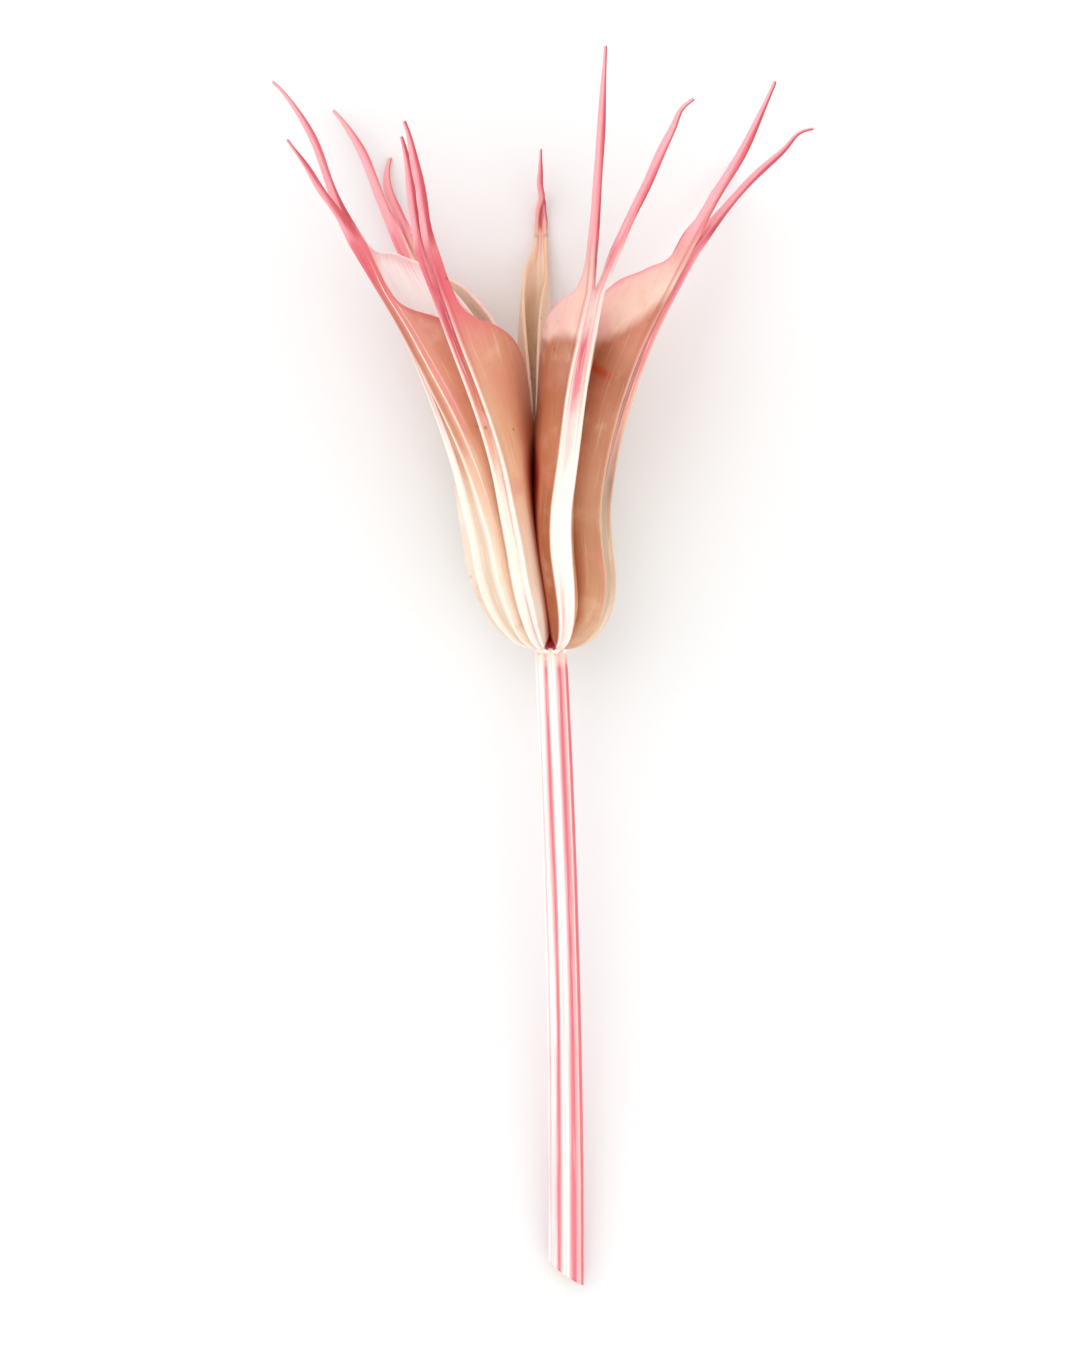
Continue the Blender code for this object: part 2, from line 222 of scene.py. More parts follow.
pod = {
    "baseRadius": 1.2, "bodyRadius": 6.5, "bowlHeight": 8.0, "flareDivisor": 77.5,
    "straightFrom": 31.0, "keelTop": 35.0, "stripeBase": 0.3, "stripeTop": 0.6,
    "stripeHollow": 0.14, "nerveRaise": 0.2, "nerveHalf": 0.24, "nerveSwell": 0.06,
    "fuseOverlap": 0.3, "freeGap": 0.1, "suture": 0.6, "lean": 1.4, "leanHeight": 14.0,
    "wall": 0.28, "rimHalf": 0.2, "rimRoll": 0.14, "shoulder": 0.55, "uneven": 0.16,
    "fibres": 0.022, "fibreSpacing": 0.42,
    "bowlShare": 0.25, "split": 0.91, "layAngle": math.radians(6.4), "layHeight": 7.6,
    "standX": 0.6615, "standY": 2.6696,
    "rows": 170, "beakRows": 74, "stripeColumns": 14, "flankColumns": 34,
    "rimColumns": 7, "innerColumns": 22, "innerBackColumns": 6,
    "beakHandles": (0.3, 0.7), "beakMiddle": 0.5, "beakTip": 0.17, "beakGroove": 0.24,
    # the last way below is where the light painted on the beaks comes from
    "kinkReach": 0.1, "paleWay": (-0.83, 0.5, 0.25),
}

# the seam of a follicle in its radial plane: share of its length, radius, height
seam = np.array([
    (0.00, 0.55, 0.6), (0.50, 0.55, 18.6), (0.60, 1.9, 23.6), (0.70, 4.8, 28.0),
    (0.80, 8.6, 31.1), (0.88, 11.5, 32.3), (0.94, 13.2, 33.6), (1.00, 14.7, 35.7),
])

# what a user would change on each follicle: its azimuth at base and top in degrees, how
# far it flares, half its back stripe, half the slit between its beaks, and for each side
# the bulge of its flank, the height of its margin, half its mouth, its beak's tip
# (x, up the pod, towards the viewer) and the bow before the tip. Some also have a sway, which
# turns the lower and middle part by a few degrees, a slim, which narrows the upper part, and
# beaks that are finer or have a kink (its size and its share of the way to the tip)
follicles = {
    "left": dict(azimuth=(-48, -86), flare=1.0, stripe=1.3, split=0.2, sides=[
        dict(bulge=1.1, crest=2.0, mouth=2.2, tip=(-24.1, 49.4, 0.5), bow=(1.6, 1.2, 0.0), fine=0.8),
        dict(bulge=1.1, crest=-2.1, mouth=2.2, tip=(-22.7, 44.6, 5.0), bow=(0.4, -0.4, 0.5), fine=0.75)]),
    "frontLeft": dict(azimuth=(-18, -38), flare=0.95, stripe=0.6, split=0.12, sides=[
        dict(bulge=1.0, crest=-1.0, mouth=1.3, tip=(-12.7, 45.2, 14.0), bow=(0.3, 0.6, 0.0)),
        dict(bulge=0.75, crest=-2.4, mouth=1.8, tip=(-12.4, 46.6, 16.2), bow=(0.5, 0.6, 0.2))]),
    "front": dict(azimuth=(17.5, 23), sway=(-1.6, 2.6), flare=0.95, stripe=0.84, widens=0.3, split=0.6, sides=[
        dict(bulge=0.75, crest=-0.5, mouth=1.5, tip=(4.6, 53.0, 18.0), bow=(0.2, 0.3, 0.4), fine=0.85),
        dict(bulge=1.0, crest=-0.5, mouth=1.0, tip=(12.2, 48.4, 14.6), bow=(-0.2, 1.3, -0.4),
             kink=(-0.3, 0.2, 0.0, 0.88))]),
    "right": dict(azimuth=(63, 60), flare=1.0, stripe=0.95, split=0.2, sides=[
        dict(bulge=1.1, crest=1.2, mouth=1.3, tip=(19.2, 49.7, 8.0), bow=(0.3, -0.6, 0.0)),
        dict(bulge=1.1, crest=0.4, mouth=1.1, tip=(22.8, 45.3, 2.5), bow=(-0.6, 1.3, 0.3), fine=0.8,
             kink=(-0.25, 0.35, 0.0, 0.9))]),
    "backRight": dict(azimuth=(120, 113), flare=0.95, stripe=1.05, split=0.2, sides=[
        dict(bulge=1.4, crest=0.2, mouth=1.1, tip=(17.2, 40.05, -10.0), bow=(0.3, -0.3, 0.0), fine=0.6),
        dict(bulge=1.4, crest=-0.8, mouth=1.2, tip=(16.2, 41.9, -12.2), bow=(-0.2, 0.0, -0.2), fine=0.75)]),
    "back": dict(azimuth=(187, 177), flare=0.5, stripe=0.6, suture=0.35, split=0.02, slim=0.25, sides=[
        dict(bulge=1.0, crest=-0.8, mouth=0.35, tip=(-0.75, 39.2, -11.4), bow=(0.1, 0.2, -0.3), fine=0.6),
        dict(bulge=1.0, crest=1.2, mouth=1.6, tip=(-0.85, 43.2, -9.4), bow=(0.1, 0.3, 0.0), fine=0.65,
             kink=(0.3, 0.0, 0.0, 0.45))]),
    "backLeft": dict(azimuth=(-110, -128), flare=0.92, stripe=1.05, split=0.2, sides=[
        dict(bulge=1.4, crest=0.0, mouth=1.2, tip=(-14.1, 42.3, -12.2), bow=(-1.5, -0.4, 0.0)),
        dict(bulge=1.4, crest=-0.8, mouth=1.0, tip=(-19.2, 46.5, -11.4), bow=(0.6, 1.4, -0.1))]),
}


def podLean(a):
    # how far the axis stands to the left at height a
    return -pod["lean"] * smooth(a / pod["leanHeight"])


def layDown(points):
    # from the pod's own frame (x, up the pod, towards the viewer) to the row's frame, in metres
    x, a, h = np.moveaxis(points, -1, 0)
    c, s = math.cos(pod["layAngle"]), math.sin(pod["layAngle"])
    z = np.maximum(a * s + h * c + pod["layHeight"], 0.0)
    return np.stack([x + pod["standX"], a * c - h * s + pod["standY"], z], axis=-1) * mm


def keelLine(s, flare):
    # middle of a follicle's back: a quarter ellipse, then a parabola, then its tangent
    turn = np.clip(s / pod["bowlShare"], 0, 1) * math.pi / 2
    rise = np.clip((s - pod["bowlShare"]) / (1 - pod["bowlShare"]), 0, 1)
    rise = rise * (pod["keelTop"] - pod["bowlHeight"])
    radius = pod["baseRadius"] + (pod["bodyRadius"] - pod["baseRadius"]) * np.sin(turn)
    reach = pod["straightFrom"] - pod["bowlHeight"]
    curved = np.minimum(rise, reach)
    slope = 2 * reach / pod["flareDivisor"]
    radius = radius + flare * (curved**2 / pod["flareDivisor"] + slope * (rise - curved))
    return radius, pod["bowlHeight"] * (1 - np.cos(turn)) + rise


def seamLine(s, flare):
    # a smooth curve through the seam's points, drawn in where the follicle flares less
    drawnIn = 1 - 0.5 * (1 - min(flare, 1)) * ramp(s, (0.5, 1.0))
    return hermite(s, seam[:, 0], seam[:, 1]) * drawnIn, hermite(s, seam[:, 0], seam[:, 2])


def clustered(count):
    # even steps from 0 to 1, drawn together at both ends, without the ends
    x = (np.arange(count) + 1) / (count + 1)
    return x - 0.11 * np.sin(2 * np.pi * x)


def halfBody(follicle, side, halfSector, seed):
    # one half of a follicle below its beaks, as a grid of rows up the pod by columns round
    # its section: over the back stripe to the nerve, down the flank to the rim, round the
    # rim and back along the inside. A point is the back's line, plus its depth along the
    # way in, plus its share of the way to the seam, plus its width across
    s = np.linspace(0, 1, pod["rows"])[:, None]
    facts = follicle["sides"][side]
    keelR, keelA = keelLine(s, follicle["flare"])
    seamR, seamA = seamLine(s, follicle["flare"])
    toR, toA = seamR - keelR, seamA - keelA
    depth = np.hypot(toR, toA)
    inR, inA = toR / depth, toA / depth
    wall = np.minimum(pod["wall"], 0.3 * depth)
    toA = toA + facts["crest"] * ramp(s, (0.6, 0.85)) * (1 - ramp(s, (0.88, 1.0)))
    depth = np.hypot(toR, toA)

    widens = ramp(s, (0.0, follicle.get("widens", 0.2)))
    stripe = pod["stripeBase"] + (follicle["stripe"] - pod["stripeBase"]) * widens
    stripe = stripe + (pod["stripeTop"] - stripe) * ramp(s, (0.6, 1.0))
    bulge = facts["bulge"] * ramp(s, (0.0, 0.16)) * (1 - ramp(s, (0.7, 1.0)))
    suture = follicle.get("suture", pod["suture"])
    margin = suture + (facts["mouth"] - suture) * ramp(s, (0.55, 0.77))
    margin = margin + (pod["stripeTop"] - margin) * ramp(s, (0.82, 1.0))
    slim = 1 - follicle.get("slim", 0) * ramp(s, (0.5, 0.7))
    stripe, margin = stripe * slim, margin * slim
    split = follicle["split"] * np.clip((s - pod["split"]) / (1 - pod["split"]), 0, 1)
    overlap = pod["fuseOverlap"] - (pod["fuseOverlap"] + pod["freeGap"]) * ramp(s, (0.5, 0.56))
    free = ramp(s, (0.52, 0.66))                        # the margins stand free above here
    rimHalf = np.minimum(pod["rimHalf"], 0.3 * depth) * (0.6 + 0.4 * free) * slim

    def widthAt(q):
        # stripe to margin by an S, plus the bulge, kept to the follicle's own sector
        wide = stripe + (margin - stripe) * smooth(q) + bulge * np.sin(math.pi * q**0.75)
        room = np.maximum(keelR + toR * q, 0.5) * math.tan(halfSector) + overlap
        uneven = pod["uneven"] * ripple(q * 9, s * 34, seed) * np.sin(math.pi * q) * ramp(s, (0.05, 0.3))
        roll = pod["rimRoll"] * bell((1 - q) * depth, 0.7) * free
        return softMin(wide + uneven + roll, room, pod["shoulder"]), room

    top = 1 - rimHalf / depth                           # the centre of the rim's roundness
    t = np.linspace(0, 1, pod["stripeColumns"])[None, :]
    fibre = pod["fibres"] * np.cos(2 * np.pi * stripe * t / pod["fibreSpacing"]) * ramp(s, (0.08, 0.25))
    nerve = pod["nerveRaise"] * ramp(s, (0.0, 0.1))
    parts = []                                          # depth, share of the way in, width
    parts.append((pod["stripeHollow"] * (1 - t) - nerve * bell((1 - t) * stripe, pod["nerveHalf"])
                  - fibre * (1 - t**6), 0 * t, stripe * t))
    q = clustered(pod["flankColumns"])[None, :] * top
    fall = bell(q * depth, pod["nerveHalf"])
    parts.append((-nerve * fall, q, widthAt(q)[0] + pod["nerveSwell"] * fall * ramp(s, (0.0, 0.1))))
    turn = np.linspace(0, math.pi, pod["rimColumns"])[None, :]
    edge = widthAt(top)[0]
    parts.append((0 * turn, top + rimHalf / depth * np.sin(turn), edge - rimHalf * (1 - np.cos(turn))))
    q = clustered(pod["innerColumns"])[None, ::-1] * (top - wall / depth) + wall / depth
    thick = wall + (2 * rimHalf - wall) * bell((top - q) * depth, 0.8)
    parts.append((0 * q, q, np.maximum(widthAt(q)[0] - thick, 0.1)))
    t = np.linspace(1, 0, pod["innerBackColumns"])[None, :]
    parts.append((wall + 0 * t, 0 * t, np.maximum(stripe - 0.8 * wall, 0.1) * t))
    d, q, w = [np.concatenate([p + 0 * s for p in column], axis=1) for column in zip(*parts)]

    room = widthAt(np.clip(q, 0, 1))[1]
    # how deep in the groove by its neighbour a point of the flank lies, low on the pod: where the groove's painted
    # shade goes
    cleft = smooth(1 - (room - w) / 1.1) * (1 - ramp(s, (0.42, 0.64))) * (q > 0)
    w = (w + split) * (-1, 1)[side]
    lower, middle = follicle.get("sway", (0, 0))
    azimuth = follicle["azimuth"][0] + np.diff(follicle["azimuth"]) * ramp(s, (0.25, 0.85))
    azimuth = np.radians(azimuth + lower * bell(s - 0.2, 0.14) + middle * bell(s - 0.5, 0.16))
    r, a = keelR + inR * d + toR * q, keelA + inA * d + toA * q
    points = np.stack([r * np.sin(azimuth) + w * np.cos(azimuth) + podLean(a), a,
                       r * np.cos(azimuth) - w * np.sin(azimuth)], axis=2)
    return points, cleft


def bezier(p, u):
    return p[0] * (1 - u) ** 3 + 3 * p[1] * u * (1 - u) ** 2 + 3 * p[2] * u * u * (1 - u) + p[3] * u**3


def beak(points, facts, seed):
    # the beak: the last ring's section, carried along a curve to the tip while it turns
    # into a grooved round, thins to a fine end and closes
    ring, before = points[-1], points[-6]
    root = ring.mean(axis=0)
    heading = unit(root - before.mean(axis=0))
    tip = np.array(facts["tip"], float)
    reach = np.linalg.norm(tip - root)
    leave = root + (heading + (tip - root) / reach) / 2 * reach * pod["beakHandles"][0]
    line = (root, leave, root + (tip - root) * pod["beakHandles"][1] + np.array(facts["bow"]), tip)
    rounding = 1 - pod["beakTip"] / reach
    u = np.concatenate([np.linspace(0, rounding, pod["beakRows"] - 6)[1:],
                        rounding + (1 - rounding) * np.sin(np.linspace(0.25, 1.5, 6))])[:, None]

    def path(u):
        # the curve, pushed aside at one share of its way where the beak has a kink
        kink = facts.get("kink", (0, 0, 0, 0))
        return bezier(line, u) + np.array(kink[:3]) * bell(u - kink[3], pod["kinkReach"])

    middle = path(u)
    ahead = unit(path(np.minimum(u + 0.01, 1)) - path(u - 0.01))
    inward = ring[pod["stripeColumns"] + pod["flankColumns"]] - ring[0]
    first = unit(inward - heading * (inward @ heading))
    side = np.cross(heading, first)
    flat = np.stack([(ring - root) @ first, (ring - root) @ side], axis=1)
    rootHalf = np.abs(flat).max(axis=0)
    flat = flat / rootHalf
    after = np.roll(flat, -1, axis=0)
    steps = np.linalg.norm(after - flat, axis=1)
    way = np.sign(np.sum(flat[:, 0] * after[:, 1] - flat[:, 1] * after[:, 0]))
    arc = np.concatenate([[0], np.cumsum(steps)[:-1]]) / steps.sum()
    turns = math.atan2(flat[0, 1], flat[0, 0]) + way * 2 * np.pi * arc
    away = (turns + np.pi) % (2 * np.pi) - np.pi
    grooved = 1 - pod["beakGroove"] * bell(away, 0.5)
    circle = np.stack([np.cos(turns), np.sin(turns)], axis=1) * grooved[:, None]

    first = unit(first - ahead * (ahead @ first)[:, None])
    across = np.cross(ahead, first)
    wobble = 0.14 * np.sin(np.pi * u) * (first * ripple(u * 14, 0, seed) + across * ripple(u * 14, 0, seed + 1))
    settle = smooth(u / 0.45)
    thin = (1 - 0.62 * smooth((u - 0.55) / 0.45)) * (1 - 0.25 * settle)
    closing = np.sqrt(np.clip(1 - (np.maximum(u - rounding, 0) / (1 - rounding)) ** 2, 0, 1))
    middleHalf = pod["beakMiddle"] * facts.get("fine", 1.0)
    halfDepth = (rootHalf[0] + (middleHalf * 1.25 - rootHalf[0]) * settle) * thin * closing
    halfWidth = (rootHalf[1] + (middleHalf * 1.1 - rootHalf[1]) * settle) * thin * closing
    shape = flat + (circle - flat) * smooth(u * 2.4)[:, :, None]
    rows = ((middle + wobble)[:, None, :] + shape[:, :, :1] * (halfDepth * first)[:, None, :]
            + shape[:, :, 1:] * (halfWidth * across)[:, None, :])
    # how far each point of the beak faces the painted light, which sets its painted highlight and shade
    facing = unit(rows - middle[:, None, :]) @ np.array(pod["paleWay"]) * smooth(u / 0.2)
    return rows, u[:, 0], facing


def follicleMesh(name, follicle, halfSectors, seed, material):
    # both halves of a follicle in one closed mesh: they share the middle of the back up to
    # the split, and above it each half closes on itself
    joined = int(np.floor(pod["split"] * (pod["rows"] - 1))) + 1
    nerve = pod["stripeColumns"] - 1
    rim = pod["stripeColumns"] + pod["flankColumns"] + pod["rimColumns"] // 2
    points, layers, grids = [], {}, []
    start = 0
    for side in (0, 1):
        body, cleft = halfBody(follicle, side, halfSectors[side], seed * 10 + side)
        top, u, facing = beak(body, follicle["sides"][side], seed * 10 + side)
        grid = np.concatenate([body, top])
        rows, columns = grid.shape[:2]
        share = np.concatenate([np.linspace(0, 1, pod["rows"]), 1 + u])[:, None] + np.zeros((1, columns))
        step = np.linalg.norm(np.diff(grid, axis=1), axis=2)
        arc = np.concatenate([np.zeros((rows, 1)), np.cumsum(step, axis=1)], axis=1)
        column = np.arange(columns)[None, :] + 0 * arc
        inner = smooth((column - rim) / 3 + 0.5)
        lane = np.clip(column / nerve, 0, 1) * (column < rim) * (-1, 1)[side]
        fromInside = arc[:, -1:] - arc
        rise = np.concatenate([[0], np.cumsum(np.linalg.norm(np.diff(grid[:, 0], axis=0), axis=1))])
        grain = np.stack([np.where(column <= rim, arc, fromInside) * (-1, 1)[side],
                          rise[:, None] + 0 * arc, seed * 17.0 + 5 * inner], axis=2)
        values = {
            "share": share, "lane": lane, "inner": inner, "grain": grain,
            "toRim": np.abs(arc - arc[:, rim:rim + 1]),
            "toNerve": np.where(column <= rim, arc - arc[:, nerve:nerve + 1], 9.0),
            "hand": 0.5 + 0.5 * (-1, 1)[side] * smooth(np.minimum(arc, fromInside) / 0.6),
            "cleft": np.concatenate([cleft, np.zeros((rows - len(cleft), columns))]),
            "facing": np.concatenate([0 * body[:, :, 0], facing]),
            "beak": smooth((rise - rise[pod["rows"] - 1] + 3.0) / 5.5)[:, None] + 0 * arc,
        }
        for key, value in values.items():
            layers.setdefault(key, []).append(value.reshape(rows * columns, -1))
        points.append(grid.reshape(-1, 3))
        grids.append(start + np.arange(rows * columns).reshape(rows, columns))
        start += rows * columns
    grids[1][:joined, 0] = grids[0][:joined, 0]
    grids[1][:joined, -1] = grids[0][:joined, -1]

    faces, caps, extra = [], [], []
    for side, grid in enumerate(grids):
        here, after = grid, np.roll(grid, -1, axis=1)
        quads = np.stack([here[:-1], after[:-1], after[1:], here[1:]], axis=2)
        keep = np.ones(quads.shape[:2], bool)
        keep[:joined - 1, -1] = False                   # no wall between the joined halves
        faces.append(quads[keep])
        for end in (0, -1):
            middle = start + len(extra)
            extra.append(grid[end, 0])
            ring = grid[end]
            points.append(np.concatenate(points[:2])[ring].mean(axis=0)[None, :])
            caps.append(np.stack([np.full(len(ring), middle), ring, np.roll(ring, -1)], axis=1))
    used = np.concatenate([f.ravel() for f in faces + caps])
    kept, index = np.unique(used, return_inverse=True)
    everything = np.concatenate(points)[kept]
    copied = np.concatenate([np.arange(start), np.array(extra)])[kept]
    layers = {key: np.concatenate(value)[copied] for key, value in layers.items()}
    layers = {key: value if value.shape[1] == 3 else value[:, 0] for key, value in layers.items()}
    sizes = np.cumsum([f.size for f in faces + caps])[:-1]
    shaped = [i.reshape(f.shape) for i, f in zip(np.split(index.ravel(), sizes), faces + caps)]
    return putMesh(name, layDown(everything), shaped, layers, material)


# The pod's skin

ivory, cream, sand = tint(253, 245, 235), tint(250, 232, 214), tint(236, 204, 176)
tan, brownTan, greyTan = tint(212, 160, 122), tint(192, 132, 94), tint(212, 188, 162)
apricot, peach, salmon = tint(216, 144, 106), tint(238, 184, 160), tint(226, 146, 126)
blush, pinkWhite, rose = tint(246, 204, 196), tint(252, 234, 230), tint(222, 98, 112)
deepRose, wine, cleftBrown = tint(198, 66, 84), tint(170, 16, 28), tint(150, 34, 8)
candy, speckBrown, scarOrange = tint(238, 136, 148), tint(120, 62, 44), tint(190, 78, 40)
# the second row: the pale pink of the beaks' painted highlight and the dark rose of their painted shade
beakPaintedHighlight, beakPaintedShade = tint(253, 182, 188), tint(188, 56, 70)
umber, clay, paleTop = tint(184, 114, 80), tint(206, 126, 92), tint(243, 200, 188)

# each follicle's colours, by share of its length up to 1 at the root of its beaks and 2 at
# their tips: along its stripe's lower-hand edge, middle and higher-hand edge, and on its two
# flanks. lines: hand, distance from the nerve and half width in mm, colour, strength, and the
# shares where it starts, is full and ends. pale: the line, by a point and a slope, over which
# the flanks are painted pale, as light through one wall. cleft: how dark the painted shade
# in its two grooves is. rim: width in mm and colour. nerve: colour and strength of the lines
# between stripe and flanks. laneLines: as lines, on the stripe, from -1 to 1 across it
beakEnd = [(1.05, candy), (1.2, rose), (1.5, tint(228, 112, 122)), (1.85, rose), (2.0, deepRose)]
shortBeak = [(1.08, tint(244, 180, 160)), (1.3, salmon), (1.6, rose), (2.0, deepRose)]
darkBeak = [(1.0, rose), (1.25, tint(208, 88, 96)), (1.6, rose), (2.0, deepRose)]
paleBeak = [(1.1, tint(242, 158, 160)), (1.35, tint(236, 128, 136)), (1.7, rose), (2.0, deepRose)]
looks = {
    "left": dict(
        stripe=([(0.0, cream), (0.5, ivory), (0.72, blush), (0.9, rose)] + darkBeak,
                [(0.0, sand), (0.35, sand), (0.5, apricot), (0.62, umber), (0.8, salmon)] + darkBeak,
                [(0.0, cream), (0.5, ivory), (0.75, blush), (0.95, candy)] + darkBeak),
        flanks=([(0.0, sand), (0.35, cream), (0.6, blush), (0.9, candy)] + darkBeak,
                [(0.0, cream), (0.2, cream), (0.4, tint(240, 206, 180)), (0.56, tint(228, 172, 140)),
                 (0.74, tint(216, 146, 124)), (0.86, tint(212, 132, 118)), (0.96, rose)] + darkBeak),
        # the first line, an umber band 0.45 mm from the nerve, is painted shade in the hollow between two ribs
        lines=[(1, 0.45, 0.42, umber, 0.6, (0.46, 0.56, 0.8)), (1, 0.95, 0.13, ivory, 0.8, (0.3, 0.5, 0.9)),
               (1, 1.25, 0.2, candy, 0.6, (0.5, 0.6, 0.95)), (1, 1.55, 0.14, blush, 0.5, (0.5, 0.62, 0.95)),
               (1, 1.9, 0.3, salmon, 0.6, (0.5, 0.62, 0.95))],
        within=[(0.0, tint(255, 240, 238)), (0.4, tint(255, 244, 242)), (0.7, ivory), (1.0, cream)],
        cleft=(0.3, 0.2), rim=(1.3, tint(206, 96, 92)), edge=pinkWhite),
    "frontLeft": dict(
        stripe=([(0.0, ivory), (0.45, cream), (0.56, peach), (0.66, salmon), (0.8, rose)] + darkBeak,
                [(0.0, ivory), (0.42, cream), (0.52, peach), (0.62, clay), (0.85, deepRose)] + darkBeak,
                [(0.0, ivory), (0.48, ivory), (0.62, blush), (0.85, rose)] + darkBeak),
        flanks=([(0.0, ivory), (0.2, tint(246, 216, 192)), (0.42, tint(238, 198, 170)),
                 (0.57, tint(242, 188, 160)), (0.75, tint(228, 160, 138)), (0.93, rose)] + darkBeak,
                [(0.0, ivory), (0.3, tint(242, 210, 186)), (0.45, tint(236, 186, 152)),
                 (0.57, tint(226, 170, 134)), (0.76, tint(216, 148, 122)), (0.93, rose)] + darkBeak),
        lines=[(1, 0.5, 0.3, greyTan, 0.5, (0.3, 0.45, 0.62))],
        laneLines=[(0.2, 0.22, candy, 0.75, (0.0, 0.04, 0.45)), (0.1, 0.6, candy, 0.4, (0.0, 0.02, 0.08))],
        notch=True, cleft=(0.2, 0.9), rim=(0.9, tint(214, 100, 98))),
    "front": dict(
        stripe=([(0.0, ivory), (0.5, ivory), (0.66, tint(252, 226, 216)), (0.85, blush)] + paleBeak,
                [(0.0, cream), (0.08, ivory), (0.5, ivory), (0.6, blush), (0.68, candy), (0.78, rose),
                 (0.86, blush)] + darkBeak,
                [(0.0, ivory), (0.5, ivory), (0.7, cream), (0.85, pinkWhite)] + paleBeak),
        flanks=([(0.0, umber), (0.1, tint(172, 92, 54)), (0.3, tint(172, 98, 60)), (0.42, tint(182, 110, 72)),
                 (0.55, tint(198, 128, 92)), (0.66, umber), (0.95, blush)] + paleBeak,
                [(0.0, sand), (0.12, tan), (0.3, brownTan), (0.6, brownTan), (0.9, blush)] + paleBeak),
        laneLines=[(-0.35, 0.6, candy, 0.55, (0.03, 0.07, 0.16)), (0.85, 0.14, tan, 0.5, (0.4, 0.6, 0.85)),
                   (-0.1, 0.5, candy, 0.35, (0.42, 0.52, 0.66)),
                   # the dark brown line below, where the two beaks part, is painted shade on the inner side of the
                   # left half-beak
                   (-0.22, 0.24, tint(120, 64, 50), 1.0, (0.9, 0.94, 1.02))],
        notch=True, pale=(0.0, 0.0293, 0.0), cleft=(0.9, 0.35), rim=(0.5, candy)),
    "right": dict(
        stripe=([(0.0, cream), (0.25, sand), (0.45, tint(176, 134, 108)), (0.6, blush), (0.85, pinkWhite),
                 (0.95, salmon)] + beakEnd,
                [(0.0, greyTan), (0.2, tint(200, 168, 140)), (0.44, tint(182, 150, 126)),
                 (0.52, tint(206, 132, 122)), (0.64, tint(178, 98, 86)), (0.85, tint(204, 104, 100))] + darkBeak,
                [(0.0, cream), (0.25, tint(214, 174, 144)), (0.45, tint(168, 126, 100)), (0.6, peach),
                 (0.9, candy)] + beakEnd),
        flanks=([(0.0, sand), (0.12, tan), (0.28, brownTan), (0.44, tint(198, 140, 104)),
                 (0.58, tint(196, 128, 94)), (0.68, umber), (0.9, peach)] + paleBeak,
                [(0.0, sand), (0.4, sand), (0.6, peach), (0.9, candy)] + beakEnd),
        laneLines=[(-0.2, 0.25, tint(160, 126, 104), 0.5, (0.2, 0.4, 0.6)),
                   # the pink-white line along the stripe's left edge, towards the light, is painted highlight
                   (-0.62, 0.25, deepRose, 0.7, (0.55, 0.7, 1.1)), (-0.95, 0.14, pinkWhite, 1.0, (0.6, 0.7, 1.0))],
        pale=(0.0087, 0.0316, 0.7), scar=True, cleft=(0.4, 0.35), rim=(0.7, candy),
        nerve=(tint(224, 190, 164), 0.7)),
    "backRight": dict(
        stripe=([(0.0, cream), (0.5, ivory), (0.7, blush), (0.9, rose)] + beakEnd,
                [(0.0, sand), (0.45, cream), (0.65, candy), (0.9, deepRose)] + beakEnd,
                [(0.0, cream), (0.5, ivory), (0.7, blush), (0.9, rose)] + beakEnd),
        flanks=([(0.0, sand), (0.35, sand), (0.6, tan), (0.85, peach), (0.95, candy)] + beakEnd,
                [(0.0, sand), (0.35, greyTan), (0.6, apricot), (0.85, peach), (0.95, candy)] + beakEnd),
        cleft=(0.4, 0.7), rim=(0.9, rose)),
    "back": dict(
        stripe=([(0.0, cream), (0.5, cream), (0.85, sand), (0.98, peach)] + shortBeak,
                [(0.0, sand), (0.5, sand), (0.8, tint(240, 198, 172)), (0.98, peach)] + shortBeak,
                [(0.0, cream), (0.5, cream), (0.85, sand), (0.98, peach)] + shortBeak),
        flanks=([(0.0, sand), (0.4, sand), (0.8, sand), (0.98, peach)] + shortBeak,
                [(0.0, sand), (0.4, greyTan), (0.8, tint(236, 204, 178)), (0.98, peach)] + shortBeak),
        within=[(0.0, tint(250, 222, 196)), (0.4, tint(252, 224, 198)), (1.0, tint(252, 222, 194))],
        cleft=(0.6, 0.6), rim=(0.3, tint(236, 198, 166)), veins=0.3),
    "backLeft": dict(
        stripe=([(0.0, cream), (0.5, ivory), (0.72, blush), (0.9, rose)] + beakEnd,
                [(0.0, sand), (0.4, sand), (0.6, salmon), (0.85, deepRose)] + beakEnd,
                [(0.0, cream), (0.5, ivory), (0.7, blush), (0.9, rose)] + beakEnd),
        flanks=([(0.0, sand), (0.35, sand), (0.6, apricot), (0.85, peach), (0.95, candy)] + beakEnd,
                [(0.0, sand), (0.35, cream), (0.6, tan), (0.85, blush), (0.95, candy)] + beakEnd),
        within=[(0.0, tint(255, 232, 216)), (0.4, tint(255, 234, 216)), (1.0, cream)],
        cleft=(0.7, 0.35), rim=(0.4, blush)),
}
within = [(0.0, blush), (0.1, pinkWhite), (0.5, ivory), (0.8, cream), (1.0, sand)]

# an orange scar on the right flank, in metres in the row's frame
scar = {"place": (0.00484, 0.0266), "turn": math.radians(-33), "long": 0.0018, "thick": 0.0007}

# the red notch where the two front follicles' feet part: its middle, its foot, half its width
notch = {"x": 0.0006, "foot": 0.0026, "half": 0.00058, "narrowing": 0.42}


